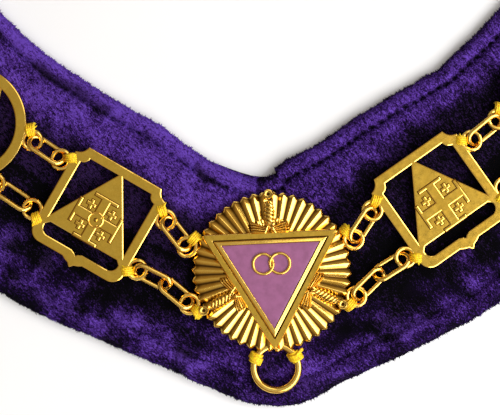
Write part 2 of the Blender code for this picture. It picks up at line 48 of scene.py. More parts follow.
# Sizes that the pieces share with the CAD model
CHAIN_HALF_WIDTH = 183.0 * MM
CHAIN_HEIGHT = 400.0 * MM
BAND_WIDTH = 92.0 * MM
BAND_TOP = 5.0 * MM
METAL_BASE = 5.3 * MM
MEDALLION_RADIUS = 33.5 * MM
MEDALLION_RAYS = 48
RIM_TOP = 9.0 * MM
DOME_TOP = 10.3 * MM
DOME_FLAT = 0.39                # share of the radius within which the dome is level
TRIANGLE_SIDE = 58.0 * MM
TRIANGLE_EDGE = TRIANGLE_SIDE / (2 * sqrt(3))      # from its middle to the middle of a side
ENAMEL_TOP = 11.2 * MM
RING_RADIUS = 9.4 * MM         # of the wire's centre line, as for the loops
RING_WIRE = 3.2 * MM
RING_BITE = 2.4 * MM
RING_LEVEL = METAL_BASE + RING_WIRE / 2 + 0.1 * MM
RING_MIDDLE = RING_BITE - MEDALLION_RADIUS - RING_RADIUS
SQUARE_WIDTH = 43.7 * MM
SQUARE_HEIGHT = 45.0 * MM
SQUARE_BAND = 4.2 * MM
ROUND_DIAMETER = 48.5 * MM
ROUND_BAND = 4.6 * MM
PLATE_BOTTOM = 6.55 * MM
PLATE_TOP = 9.15 * MM
PLATES_PER_SIDE = 5
LOOP_RADIUS = 3.85 * MM
LOOP_WIRE = 1.6 * MM
LOOP_SPREAD = 24.0 * MM
LOOP_BITE = 0.3 * MM
LOOP_LEVEL = 8.25 * MM
LINK_HALF_LENGTH = 8.1 * MM
LINK_HALF_WIDTH = 3.5 * MM
LINK_SHOWN = 2.12 * MM         # the wires as they show, a hair thicker than the solids'
LOOP_SHOWN = 1.82 * MM
LINK_BACK = 0.9 * MM
LINK_DROP = 2.05 * MM
LOWER_ARCH = 1.5 * MM


def move(x, y, z):
    return Matrix.Translation((x, y, z))


def turn_by(degrees, axis="Z"):
    return Matrix.Rotation(radians(degrees), 4, axis)


# The line that the chain lies on. across is a share of CHAIN_HALF_WIDTH, up of CHAIN_HEIGHT,
# and neck and outer, the velvet's reach to either side of the line, of BAND_WIDTH.
CHAIN_LINE = (
    # across, up, neck, outer
    (0.000, 0.0000, 0.442, 0.618),
    (0.054, 0.0015, 0.456, 0.605),
    (0.108, 0.0058, 0.470, 0.572),
    (0.246, 0.0300, 0.487, 0.530),
    (0.396, 0.0700, 0.494, 0.545),
    (0.541, 0.1165, 0.493, 0.545),
    (0.691, 0.1760, 0.480, 0.543),
    (0.821, 0.2420, 0.474, 0.538),
    (0.918, 0.3190, 0.470, 0.532),
    (0.978, 0.4040, 0.468, 0.526),
    (1.000, 0.4920, 0.466, 0.520),
    (0.964, 0.6230, 0.464, 0.500),
    (0.864, 0.7455, 0.462, 0.485),
    (0.706, 0.8505, 0.460, 0.474),
    (0.500, 0.9310, 0.460, 0.466),
    (0.258, 0.9820, 0.460, 0.460),
    (0.000, 1.0000, 0.460, 0.460),
)


class ChainLine:
    """The smooth line through the rows of CHAIN_LINE, measured along its length."""

    STEPS = 40  # between two rows

    def __init__(self):
        rows = [(a * CHAIN_HALF_WIDTH, u * CHAIN_HEIGHT, n * BAND_WIDTH, o * BAND_WIDTH)
                for a, u, n, o in CHAIN_LINE]
        knots = [0.0]
        for a, b in zip(rows, rows[1:]):
            knots.append(knots[-1] + hypot(b[0] - a[0], b[1] - a[1]))
        slopes = []
        for i in range(len(rows)):
            before, after = max(i - 1, 0), min(i + 1, len(rows) - 1)
            span = knots[after] - knots[before]
            slopes.append([(b - a) / span for a, b in zip(rows[before], rows[after])])
        slopes[0] = [1.0, 0.0, slopes[0][2], 0.0]
        slopes[-1] = [-1.0, 0.0, 0.0, 0.0]
        self.points = []
        for i in range(len(rows) - 1):
            span = knots[i + 1] - knots[i]
            for step in range(self.STEPS + (i == len(rows) - 2)):
                t = step / self.STEPS
                blend = (2 * t**3 - 3 * t**2 + 1, (t**3 - 2 * t**2 + t) * span,
                         3 * t**2 - 2 * t**3, (t**3 - t**2) * span)
                parts = zip(rows[i], slopes[i], rows[i + 1], slopes[i + 1])
                self.points.append([sum(k * v for k, v in zip(blend, part)) for part in parts])
        self.lengths = [0.0]
        for a, b in zip(self.points, self.points[1:]):
            self.lengths.append(self.lengths[-1] + hypot(b[0] - a[0], b[1] - a[1]))
        self.length = self.lengths[-1]
        self.middle = (self.points[-1][1] + self.points[-1][3] + self.points[0][1]
                       - self.points[0][3]) / 2

    def at(self, along):
        """The point, the direction and the velvet's reach to either side; -along is the left."""
        side = -1 if along < 0 else 1
        distance = min(abs(along), self.length)
        i = int(np.searchsorted(self.lengths, distance, side="left")) - 1
        i = min(max(i, 0), len(self.points) - 2)
        a, b = self.points[i], self.points[i + 1]
        share = (distance - self.lengths[i]) / (self.lengths[i + 1] - self.lengths[i])
        x, y, neck, outer = [p + (q - p) * share for p, q in zip(a, b)]
        before, after = self.points[max(i - 1, 0)], self.points[min(i + 2, len(self.points) - 1)]
        turn = atan2(after[1] - before[1], after[0] - before[0])
        if distance == 0:
            turn = 0.0
        if distance == self.length:
            turn = pi
        return Vector((side * x, y - self.middle, 0)), side * turn, neck, outer


class Station:
    """A piece of the chain: its place on the line and its four loops in the collar's frame."""

    def __init__(self, along, reach):
        point, turn, _, _ = line.at(along)
        self.along = along
        self.reach = reach
        self.place = Matrix.Translation(point) @ Matrix.Rotation(turn, 4, "Z")
        self.spots = {(side, level): Vector((side * reach, level * LOOP_SPREAD / 2, LOOP_LEVEL))
                      for side in (-1, 1) for level in (-1, 1)}
        self.loops = {key: self.place @ spot for key, spot in self.spots.items()}


def next_station(last, side, reach):
    """Move out along the line until one link spans the two upper loops."""
    span = 2 * (LINK_HALF_LENGTH - LINK_BACK)
    near, far = abs(last.along), line.length
    for _ in range(40):
        along = (near + far) / 2
        station = Station(side * along, reach)
        apart = (station.loops[-side, 1] - last.loops[side, 1]).length
        if apart < span or along < abs(last.along) + last.reach + reach:
            near = along
        else:
            far = along
    return Station(side * far, reach)


def round_reach(radius):
    return sqrt((radius + LOOP_RADIUS - LOOP_BITE)**2 - (LOOP_SPREAD / 2)**2)


# Meshes


def make_object(name, data):
    item = bpy.data.objects.new(name, data)
    bpy.context.scene.collection.objects.link(item)
    return item


class Shape:
    """Points, faces, a material number for each face and a tone for each point."""

    def __init__(self):
        self.points, self.faces, self.parts, self.tones = [], [], [], []
        self.more = {}     # further values for each point, by name

    def add(self, points, faces, part=0, tone=0.0, place=None, **more):
        start = len(self.points)
        if place is not None:
            points = [place @ Vector(p) for p in points]
        self.points += [tuple(p) for p in points]
        self.faces += [tuple(i + start for i in face) for face in faces]
        self.parts += [part] * len(faces) if isinstance(part, int) else list(part)
        self.tones += list(tone) if hasattr(tone, "__len__") else [tone] * len(points)
        self.more.update(more)
        return self

    def wire(self, path, radius, sides, closed=False):
        self.add(*tube(path, radius, sides, closed))

    def build(self, name, materials, sharp=40, place=None):
        """Make the object; edges over sharp degrees stay sharp."""
        mesh = bpy.data.meshes.new(name)
        mesh.from_pydata(self.points, [], self.faces)
        for material in materials:
            mesh.materials.append(material)
        mesh.polygons.foreach_set("material_index", self.parts)
        mesh.attributes.new("tone", "FLOAT", "POINT").data.foreach_set("value", self.tones)
        for key, values in self.more.items():
            if key == "band":
                flat = [v for value in values for v in value]
                mesh.attributes.new(key, "FLOAT_VECTOR", "POINT").data.foreach_set("vector", flat)
            else:
                mesh.attributes.new(key, "FLOAT", "POINT").data.foreach_set("value", values)
        mesh.validate()
        mesh.update()
        mesh.shade_smooth()
        if sharp < 180:
            mesh.set_sharp_from_angle(angle=radians(sharp))
        item = make_object(name, mesh)
        if place is not None:
            item.matrix_world = place
        return item


def strips(rows, count, closed_rows=False):
    """The faces between rows of count points each."""
    faces = []
    for row in range(rows - (0 if closed_rows else 1)):
        low, high = row * count, (row + 1) % rows * count
        for i in range(count):
            j = (i + 1) % count
            faces.append((low + i, low + j, high + j, high + i))
    return faces


def skin(rows, count):
    """Strips and a cap on each end."""
    last = (rows - 1) * count
    return strips(rows, count) + [tuple(reversed(range(count))), tuple(range(last, last + count))]


def tube(path, radius, sides, closed=False):
    """A round wire along a path; radius is one value or one for each point."""
    path = [Vector(p) for p in path]
    count = len(path)
    radii = radius if hasattr(radius, "__len__") else [radius] * count
    points = []
    across = None
    for i, spot in enumerate(path):
        before = path[i - 1] if i or closed else path[0]
        after = path[(i + 1) % count] if i < count - 1 or closed else path[-1]
        ahead = (after - before).normalized()
        if across is None:
            across = ahead.orthogonal().normalized()
            if abs(ahead.z) < 0.9:
                across = ahead.cross(UP).normalized()
        across = (across - ahead * across.dot(ahead)).normalized()
        other = ahead.cross(across)
        for k in range(sides):
            angle = 2 * pi * k / sides
            points.append(spot + (across * cos(angle) + other * sin(angle)) * radii[i])
    return points, strips(count, sides, closed_rows=True) if closed else skin(count, sides)


def polar(radius, degrees, centre=(0, 0)):
    return centre[0] + radius * cos(radians(degrees)), centre[1] + radius * sin(radians(degrees))


def ring_path(centre, radius, count):
    return [Vector((*polar(radius, 360 * i / count), 0)) + Vector(centre) for i in range(count)]


def arc(centre, radius, start, end, steps):
    return [polar(radius, start + (end - start) * i / steps, centre) for i in range(steps + 1)]


def polygon_area(outline):
    return sum(a[0] * b[1] - b[0] * a[1] for a, b in zip(outline, outline[1:] + outline[:1])) / 2


def flat_plate(outlines, bottom, top, bevel, grow=0.0):
    """A plate with broken edges: the first outline is its edge and the others are its holes."""
    curve = bpy.data.curves.new("outline", "CURVE")
    curve.dimensions = "2D"
    curve.fill_mode = "BOTH"
    for number, outline in enumerate(outlines):
        if (polygon_area(outline) > 0) == (number > 0):
            outline = outline[::-1]
        spline = curve.splines.new("POLY")
        spline.points.add(len(outline) - 1)
        for point, (x, y) in zip(spline.points, outline):
            point.co = (x, y, 0, 1)
        spline.use_cyclic_u = True
    curve.bevel_depth = bevel
    curve.bevel_resolution = 1
    curve.extrude = (top - bottom) / 2 - bevel
    curve.offset = grow - bevel
    item = make_object("outline", curve)
    graph = bpy.context.evaluated_depsgraph_get()
    mesh = bpy.data.meshes.new_from_object(item.evaluated_get(graph))
    points = [(v.co.x, v.co.y, v.co.z + (top + bottom) / 2) for v in mesh.vertices]
    faces = [tuple(face.vertices) for face in mesh.polygons]
    level = [face.normal.z > 0.98 for face in mesh.polygons]
    bpy.data.objects.remove(item, do_unlink=True)
    bpy.data.meshes.remove(mesh)
    return points, faces, level


# Materials


def fill_ramp(ramp, stops):
    """Stops are (position, colour), and a single number stands for a grey."""
    while len(ramp.elements) < len(stops):
        ramp.elements.new(0.5)
    for element, (spot, color) in zip(ramp.elements, stops):
        element.position = spot
        element.color = (*color, 1.0) if hasattr(color, "__len__") else (color, color, color, 1.0)


class Nodes:
    """A material's node tree, with short calls for the nodes that the finishes use."""

    def __init__(self, name):
        self.material = bpy.data.materials.new(name)
        self.material.use_nodes = True
        self.tree = self.material.node_tree
        self.shader = self.tree.nodes["Principled BSDF"]
        self.place = self.add("TexCoord").outputs["Object"]

    def link(self, value, socket):
        if isinstance(value, bpy.types.NodeSocket):
            self.tree.links.new(value, socket)
        else:
            socket.default_value = value

    def add(self, kind, **inputs):
        node = self.tree.nodes.new("ShaderNode" + kind)
        for name, value in inputs.items():
            self.link(value, node.inputs[name])
        return node

    def noise(self, scale, detail=2.0, roughness=0.5, stretch=None, distortion=0.0, place=None):
        place = place or self.place
        if stretch:
            mapping = self.add("Mapping", Vector=place, Scale=(stretch[0], 1, 1),
                               Rotation=(0, 0, radians(stretch[1])))
            mapping.vector_type = "TEXTURE"
            place = mapping.outputs["Vector"]
        node = self.add("TexNoise", Vector=place, Scale=scale, Detail=detail, Roughness=roughness,
                        Distortion=distortion)
        return node.outputs["Fac"]

    def ramp(self, value, *stops):
        node = self.add("ValToRGB", Fac=value)
        fill_ramp(node.color_ramp, stops)
        return node.outputs["Color"]

    def math(self, operation, a, b=0.0):
        node = self.add("Math")
        node.operation = operation
        self.link(a, node.inputs[0])
        self.link(b, node.inputs[1])
        return node.outputs["Value"]

    def mix(self, factor, a, b):
        node = self.add("Mix", Factor=factor)
        node.data_type = "RGBA"
        for value, socket in ((a, node.inputs[6]), (b, node.inputs[7])):
            self.link((*value, 1.0) if isinstance(value, tuple) else value, socket)
        return node.outputs[2]

    def attribute(self, name, output="Fac"):
        node = self.add("Attribute")
        node.attribute_name = name
        return node.outputs[output]

    def bump(self, height, distance, strength, **normal):
        node = self.add("Bump", Height=height, Distance=distance, Strength=strength, **normal)
        return node.outputs["Normal"]

    def finish(self, **inputs):
        for name, value in inputs.items():
            self.link(value, self.shader.inputs[name.replace("_", " ")])
        return self.material


def gold(name, bright, deep, roughness, grain, groove=(0.20, 0.075, 0.008)):
    """Gold plate; tone 1 is the dark brown of painted shade in grooves, hollows and at the feet of parts."""
    nodes = Nodes(name)
    mottle = nodes.math("MULTIPLY", nodes.math("ADD", nodes.noise(140, 3), nodes.noise(1500, 2)), 0.5)
    patches = nodes.ramp(mottle, (0.38, deep), (0.62, bright))
    # Tone mixes in the groove colour: painted shade
    color = nodes.mix(nodes.attribute("tone"), patches, groove)
    rough = nodes.ramp(nodes.noise(420, 4, 0.6), (0.3, roughness * 0.8), (0.7, roughness * 1.25))
    broad = nodes.bump(nodes.noise(260, 2), 0.12 * MM, 0.5)
    normal = nodes.bump(nodes.noise(2400, 2), grain * MM, 0.6, Normal=broad)
    return nodes.finish(Base_Color=color, Metallic=1.0, Roughness=rough, Normal=normal)


PILE_TURN = -54       # the way the pile's streaks run, in degrees


def velvet_material(name, pile=False):
    """Crushed purple velvet. The band attribute is the place along and across the collar, tone runs to 1
    where the pile is painted dark: painted shade by the chain, in the creases and at the edges, and random
    dark blotches. Lift is over 0.5 where the pile catches the light, as painted highlight."""
    nodes = Nodes(name)
    band = nodes.attribute("band", "Vector")
    patches = nodes.noise(95, 2, 0.5, distortion=0.8, place=band)
    streaks = nodes.noise(1400, 2, 0.6, stretch=(2.6, PILE_TURN), distortion=0.5)
    tufts = nodes.noise(700, 2, 0.6, stretch=(1.8, PILE_TURN + 12), distortion=0.8)
    grain = nodes.noise(1700, 2, 0.7)
    lie = nodes.math("MULTIPLY", streaks, 0.80)
    for value, share in ((tufts, 0.34), (patches, 0.18), (grain, 0.82)):
        lie = nodes.math("ADD", lie, nodes.math("MULTIPLY", value, share))
    rise = nodes.math("MULTIPLY", nodes.math("SUBTRACT", nodes.attribute("lift"), 0.5), 0.60)
    lie = nodes.math("ADD", lie, rise)
    tone = nodes.attribute("tone")
    lie = nodes.math("SUBTRACT", lie, nodes.math("ADD", nodes.math("MULTIPLY", tone, 0.14), 0.285))
    color = nodes.ramp(lie, (0.56, (0.0030, 0.0012, 0.0075)), (0.67, (0.012, 0.0036, 0.036)),
                       (0.78, (0.036, 0.0115, 0.118)), (0.89, (0.083, 0.030, 0.265)),
                       (0.99, (0.122, 0.052, 0.405)))
    # Where tone is high, painted shade turns the pile near black
    dark = nodes.ramp(lie, (0.62, (0.0008, 0.0006, 0.0012)), (0.86, (0.022, 0.009, 0.052)))
    color = nodes.mix(nodes.math("POWER", tone, 1.7), color, dark)
    normal = nodes.bump(nodes.math("ADD", streaks, tufts), (0.2 if pile else 0.5) * MM, 0.8)
    return nodes.finish(Base_Color=color, Roughness=0.95, Normal=normal, Sheen_Weight=0.04,
                        Sheen_Roughness=0.4, Sheen_Tint=(0.40, 0.25, 0.95, 1.0),
                        Specular_IOR_Level=0.05)


def enamel_material():
    nodes = Nodes("mauve_enamel")
    mottle = nodes.ramp(nodes.noise(300, 4, 0.6), (0.35, (0.25, 0.078, 0.175)),
                        (0.65, (0.31, 0.100, 0.225)))
    normal = nodes.bump(nodes.noise(500, 2), 0.05 * MM, 0.4)
    return nodes.finish(Base_Color=mottle, Roughness=0.28, Normal=normal, Coat_Weight=0.4,
                        Coat_Roughness=0.12)


def thread_material():
    nodes = Nodes("yellow_thread")
    color = nodes.ramp(nodes.noise(1500, 2), (0.35, (0.80, 0.36, 0.002)), (0.60, (1.00, 0.76, 0.006)))
    normal = nodes.bump(nodes.noise(5200, 2, stretch=(2.5, 30)), 0.06 * MM, 0.7)
    return nodes.finish(Base_Color=color, Roughness=0.60, Normal=normal, Sheen_Weight=0.05)


line = ChainLine()
POLISHED = gold("polished_gold", (1.00, 0.66, 0.15), (0.92, 0.54, 0.09), 0.12, 0.004)
SATIN = gold("satin_gold", (0.70, 0.43, 0.058), (0.63, 0.37, 0.042), 0.31, 0.03)
# The cast medallion's painted shade is a darker brown
CAST = gold("cast_gold", (1.00, 0.66, 0.15), (0.92, 0.54, 0.09), 0.13, 0.008,
            groove=(0.075, 0.027, 0.004))
ENAMEL = enamel_material()
THREAD = thread_material()
VELVET = velvet_material("crushed_velvet")
PILE = velvet_material("velvet_pile", pile=True)


# Velvet

BAND_SECTIONS = 1060       # along the whole loop
# In mm, like all lengths in this section
NECK_CREASE = 7.2          # from the neck edge in to the stitching, and the same on the outer side
OUTER_CREASE = 10.0
EDGE_ROLL = 3.6
STITCH_PITCH = 4.5
CHAIN_END = 345            # along the line, near the last plates' far edges
METAL_REACH = 26.0         # the velvet stays under the metal this far to either side of the line

# Places across the top, in from an edge: close together at the edges and the creases
NECK_STEPS = (0.0, 0.3, 0.7, 1.2, 1.8, 2.5, 3.2, 4.0, 4.8, 5.5, 6.0, 6.4, 6.8, 7.2, 7.6, 8.0, 8.4, 9.0,
              9.8, 10.8, 11.9, 13.1)
OUTER_STEPS = (0.0, 0.3, 0.7, 1.2, 1.8, 2.5, 3.3, 4.2, 5.1, 6.0, 6.9, 7.7, 8.4, 9.0, 9.5, 10.0, 10.5,
               11.1, 11.9, 12.9, 14.0)
MIDDLE_STEPS = 36

# How far the cloth's edges wander from the even outline, as (length along, distance out);
# -1 is the left side and 1 the right
NECK_SWAY = {-1: ((0, 0), (6, -0.8), (24, -2.3), (43, -2.7), (63, -1.2), (74, 0.2), (90, -0.6),
                  (118, -1.2), (137, -1.6), (169, -1.0), (250, 0)),
             1: ((0, 0), (8, -0.9), (16, -0.1), (26, 1.9), (46, 2.1), (67, 2.9), (76, 2.2), (85, 1.6),
                 (95, 0.4), (105, -0.7), (115, -2.3), (125, -1.5), (146, -0.9), (200, 0))}
OUTER_SWAY = {-1: ((0, 0.5), (14, -0.8), (17, -2.0), (25, -3.0), (43, -2.0), (66, -1.2), (87, 0.0),
                   (150, 0)),
              1: ((0, 0.5), (4, 0.8), (13, -0.4), (19, -2.4), (25, -1.9), (37, 0.1), (49, 1.0), (61, 1.6),
                  (68, 1.5), (110, 0))}

# Across the underside: share of the way to an edge, and level as a share of BAND_TOP
UNDERSIDE = ((-0.985, 0.25), (-0.96, 0.0), (-0.5, 0.0), (0.0, 0.0), (0.5, 0.0), (0.965, 0.0),
             (0.988, 0.25))
TOP_STEPS = len(NECK_STEPS) + MIDDLE_STEPS + len(OUTER_STEPS)
BAND_PLACES = TOP_STEPS + len(UNDERSIDE)      # points in each section
V_SHIFT = (-4.5, -1.2)     # how far the V's point at the neck is moved, across and up
FRINGE_FIBRES = 22000
TUFT_FIBRES = 80000


def bell(value, width):
    return np.exp(-(value / width)**2)


def smooth(value, low, high):
    t = min(max((value - low) / (high - low), 0.0), 1.0)
    return t * t * (3 - 2 * t)


def waves(spot, scale, seed=0.0):
    return noise.noise(Vector((spot[0] / scale, spot[1] / scale, 3.7 * seed + 0.5)))


def across_places(neck, outer):
    """Signed distances from the chain line to each place across the top, the neck edge first."""
    places = [neck - step for step in NECK_STEPS]
    low, high = OUTER_STEPS[-1] + 1.0 - outer, neck - NECK_STEPS[-1] - 1.2
    places += [high + (low - high) * i / (MIDDLE_STEPS - 1) for i in range(MIDDLE_STEPS)]
    return places + [step - outer for step in reversed(OUTER_STEPS)]


def velvet_shade(side, along, reach, neck, outer, dash):
    """How dark the pile is painted at a place, mostly painted shade, and how much painted highlight it
    catches. dash is 1 on a stitch and 0 between two."""
    spot = (side * along, reach)
    from_neck, from_outer = neck - reach, outer + reach
    blot, fleck = waves(spot, 9, 1), waves(spot, 4.2, 2)
    # The pile round the chain is crushed flat, and painted shade darkens it
    width = 17.5 + 2.5 * sin(along / 31) + 4.5 * smooth(along, 30, 80)
    if side > 0:
        width += 7.5 * smooth(along, 18, 60) * (reach > 0)
    zone = abs(reach + 0.5) + 4.0 * blot + 1.6 * fleck
    tone = 1 / (1 + np.exp((zone - width) / 1.5))
    tone *= 1 - 0.75 * smooth(along + 12 * blot, CHAIN_END, CHAIN_END + 30)
    lift = 0.5 + 0.10 * blot
    if reach > 0:
        # The neck side: a painted lit strip outside the stitches, the crease with its painted shadow, and
        # painted shade along the edge
        strip = smooth(NECK_CREASE - from_neck, -0.5, 1.0)
        crease = from_neck - NECK_CREASE
        if side < 0:
            lift += 0.12 + 0.13 * strip
            wander = crease + 0.8 + 2.6 * blot + 1.2 * fleck
            shadow = bell(wander, 2.5 + 2.6 * waves(spot, 16, 3))
            tone += 0.85 * shadow * smooth(waves(spot, 12, 4), -0.25, 0.25)
            tone += 0.70 * bell(crease, 0.8) * smooth(fleck, -0.1, 0.25)
            lift += 0.10 * fleck * strip
        else:
            lift += 0.07 * strip - 0.025
            tone += 0.95 * bell(crease + 0.5 * fleck, 0.8) * dash + 0.3 * bell(crease, 1.2)
            tone += 0.8 * bell(from_neck, 1.0 + 2.6 * max(waves(spot, 30, 5), 0))
            tone += 0.35 * smooth(36 - along, 0, 20) * smooth(blot, -0.3, 0.3)
    else:
        # The outer side: mottled, with a painted lit roll beside its crease, and painted shade at the edge,
        # in the crease and towards the chain
        lift += 0.28 * waves(spot, 6, 6) - 0.07 + 0.32 * max(waves(spot, 15, 7), -0.3)
        lift += 0.20 * bell(from_outer - 8.0, 3.2) * smooth(waves(spot, 20, 8), -0.5, 0.2)
        lift -= 0.11 if side > 0 else 0.05
        tone += 0.55 * bell(from_outer, 3.0) * smooth(blot, -0.5, 0.3)
        tone += 0.70 * bell(from_outer - OUTER_CREASE - blot, 1.4) * smooth(fleck, -0.3, 0.2)
        tone += 0.60 * smooth(-waves(spot, 11, 9), 0.0, 0.35)
        tone += (0.50 * smooth(from_outer + 5 * blot, 13, 19) * smooth(along, 8, 26)
                 * smooth(CHAIN_END - along, 0, 150))
    return min(tone, 1.0), min(max(lift, 0.0), 1.0)


def velvet_height(side, along, reach, neck, outer, dash):
    """The puffed top: rolled edges, two stitched creases and soft dents."""
    spot = (side * along, reach)
    from_neck, from_outer = neck - reach, outer + reach
    edge = min(from_neck, from_outer)
    roll = 1 - (1 - min(edge / EDGE_ROLL, 1.0))**2
    top = BAND_TOP / MM
    height = top * (0.42 + 0.60 * sqrt(max(roll, 0.0)))
    wave = 0.5 * waves(spot, 24, 10)
    neck_crease = bell(from_neck - NECK_CREASE - wave, 0.9)
    outer_crease = bell(from_outer - OUTER_CREASE - 2 * wave, 1.5)
    height += 0.8 * (bell(from_neck - 3.8, 2.4) + 0.7 * bell(from_neck - 11, 2.5))
    height += 0.8 * bell(from_outer - 5.5, 3.0)
    height -= 1.9 * neck_crease * (0.45 + 0.55 * dash) + 1.2 * outer_crease
    near = bell(from_neck - NECK_CREASE, 5) + bell(from_outer - OUTER_CREASE, 6)
    height += 0.55 * near * waves((side * along, reach * 0.3), 2.6, 11)
    dents = 0.55 * waves(spot, 17, 12) + 0.30 * waves(spot, 4.0, 13)
    height += dents * min(edge / 6, 1.0)
    if along < 24 and reach > 0:      # the mitre seam in the V
        height -= 1.0 * bell(along - 1.0, 1.2) * min(reach / 20, 1.0)
    if abs(reach) < METAL_REACH:
        height = min(height, top + 0.2)
    return max(height, 1.2)


def velvet_shape():
    points, tones, lifts, band = [], [], [], []
    for j in range(BAND_SECTIONS):
        along, side = 2 * line.length * j / BAND_SECTIONS, 1
        if along > line.length:
            along, side = 2 * line.length - along, -1
        point, turn, neck, outer = line.at(along)
        along /= MM
        neck = neck / MM + np.interp(along, *zip(*NECK_SWAY[side]))
        outer = outer / MM + np.interp(along, *zip(*OUTER_SWAY[side]))
        neckward = Vector((-sin(turn), cos(turn), 0))
        dash = smooth(cos(2 * pi * along / STITCH_PITCH + 1.6 * waves((along, 0), 21)), -0.55, 0.15)
        for reach in across_places(neck, outer):
            edge = min(neck - reach, outer + reach)
            ragged = 0.60 * waves((side * along, reach), 1.1, 14) * bell(edge, 1.2)
            spot = point + neckward * (reach + ragged * (1 if reach > 0 else -1)) * MM
            pull = bell(along, 34) * smooth(reach, 0.35 * neck, neck)
            height = velvet_height(side, along, reach, neck, outer, dash)
            points.append((side * spot.x + V_SHIFT[0] * MM * pull, spot.y + V_SHIFT[1] * MM * pull,
                           height * MM))
            tone, lift = velvet_shade(side, along, reach, neck, outer, dash)
            tones.append(tone)
            lifts.append(lift)
            band.append((side * along * MM, reach * MM, 0.0))
        # The turned-in lower edges and the flat underside, darkened a little with painted shade
        for share, level in UNDERSIDE:
            reach = (neck if share > 0 else outer) * share
            spot = point + neckward * reach * MM
            points.append((side * spot.x, spot.y, level * BAND_TOP))
            tones.append(0.3)
            lifts.append(0.45)
            band.append((side * along * MM, reach * MM, 0.02))
    return Shape().add(points, strips(BAND_SECTIONS, BAND_PLACES, closed_rows=True), tone=tones, lift=lifts,
                       band=band)


def pile_shape(velvet):
    """Short fibres: a fringe along both edges and leaning tufts on the top."""
    random = np.random.default_rng(7)

    def rows(values):
        # Single precision, as a mesh keeps it
        return np.array(values, np.float32).astype(float).reshape(BAND_SECTIONS, BAND_PLACES, -1)

    spots, velvet_tones, velvet_lifts = rows(velvet.points), rows(velvet.tones), rows(velvet.more["lift"])
    velvet_band = rows(velvet.more["band"])
    points, faces, tones, lifts, band = [], [], [], [], []

    def fibre(root, lean, width, j, k, gain):
        across = lean.cross(UP)
        across = across.normalized() * width / 2 if across.length > 1e-9 else Vector((width / 2, 0, 0))
        start = len(points)
        points.extend((root - across, root + across, root + lean))
        faces.append((start, start + 1, start + 2))
        tones.extend([float(velvet_tones[j, k, 0])] * 3)
        lifts.extend([min(max(float(velvet_lifts[j, k, 0]) + gain, 0.0), 1.0)] * 3)
        band.extend([tuple(velvet_band[j, k] + random.normal(0, 0.3 * MM, 3))] * 3)

    def between(j, k, s, t):
        on, up = (j + 1) % BAND_SECTIONS, min(k + 1, BAND_PLACES - 1)
        near = spots[j, k] + (spots[on, k] - spots[j, k]) * s
        far = spots[j, up] + (spots[on, up] - spots[j, up]) * s
        return Vector(near + (far - near) * t)

    for _ in range(FRINGE_FIBRES):
        j = int(random.integers(BAND_SECTIONS))
        at_neck = bool(random.integers(2))
        k = int(random.integers(4)) if at_neck else TOP_STEPS - 1 - int(random.integers(4))
        root = between(j, k, random.random(), 0.0)
        out = root - Vector(spots[j, k + 8] if at_neck else spots[j, k - 8])
        out.z = 0
        out.normalize()
        lean = out * (0.40 + 0.7 * random.random()) + UP * (random.random() - 0.35) * 0.6
        lean += Vector(random.normal(0, 0.25, 3))
        fibre(root - out * 0.2 * MM, lean * 0.9 * MM, (0.25 + 0.25 * random.random()) * MM, j, k,
              0.15 * random.normal() - 0.05)
    for _ in range(TUFT_FIBRES):
        j, k = int(random.integers(BAND_SECTIONS)), int(random.integers(TOP_STEPS - 1))
        root = between(j, k, random.random(), random.random())
        flow = radians(PILE_TURN) + (pi if noise.noise(root / (11 * MM)) > -0.1 else 0)
        flow += 0.45 * random.normal()
        lean = Vector((cos(flow), sin(flow), 0.30 + 0.45 * random.random()))
        lean *= (0.45 + 0.6 * random.random()) * MM
        if velvet_tones[j, k, 0] > 0.9:
            lean.z *= 0.3
        fibre(root - UP * 0.05 * MM, lean, (0.20 + 0.22 * random.random()) * MM, j, k,
              0.16 * random.normal())
    return Shape().add(points, faces, tone=tones, lift=lifts, band=band)


# Medallion

RAY_STEPS = (0.0, 0.07, 0.25, 0.43, 0.5, 0.57, 0.75, 0.93)   # shares of a ray's pitch
RAY_DEPTH = 1.0 * MM
RIM_NOTCH = 0.9 * MM
# Rings of the sunburst from the middle out: share of the radius, drop in mm and painted shade on the rim's
# outer wall
SUNBURST_ROWS = ((0.30, 0, 0), (0.42, 0, 0), (0.55, 0, 0), (0.68, 0, 0), (0.80, 0, 0), (0.90, 0, 0),
                 (0.96, 0, 0), (0.985, 0.25, 0), (1.0, 0.75, 0), (1.006, 1.6, 0.2))
MOTIF_WIRE = 1.2 * MM
GRIP_PROFILE = ((0.00, 0.62), (0.18, 0.80), (0.42, 1.00), (0.62, 0.78), (0.70, 0.55))
GRIP_RIBS = 7
GRIP_TWISTS = 4
GRIP_SIDES = 40
GRIP_SHARES = (0.02, 0.70)     # of the hilt's length, from its foot
HILT_DIRECTIONS = (90, 207, 333)
KNOB_SHARE = 0.865
KNOB_SIDES = 32
# The pommel from its foot round the rim and down the hole: radius, level in mm and tone of painted shade
KNOB_RINGS = ((0.0, 0.0, 1.0), (2.2, 0.0, 0.3), (2.2, 1.15, 0.3), (2.05, 1.95, 0.3), (1.75, 2.27, 0.3),
              (1.45, 2.33, 0.3), (1.25, 2.19, 0.5), (0.90, 2.07, 0.3), (0.70, 2.05, 0.3),
              (0.62, 1.50, 1.0), (0.02, 1.40, 1.0))
GUARD_LENGTH = 15.0 * MM
GUARD_WIDTH = 4.6 * MM
GUARD_WAIST = 2.8 * MM
GUARD_FLUTES = 4


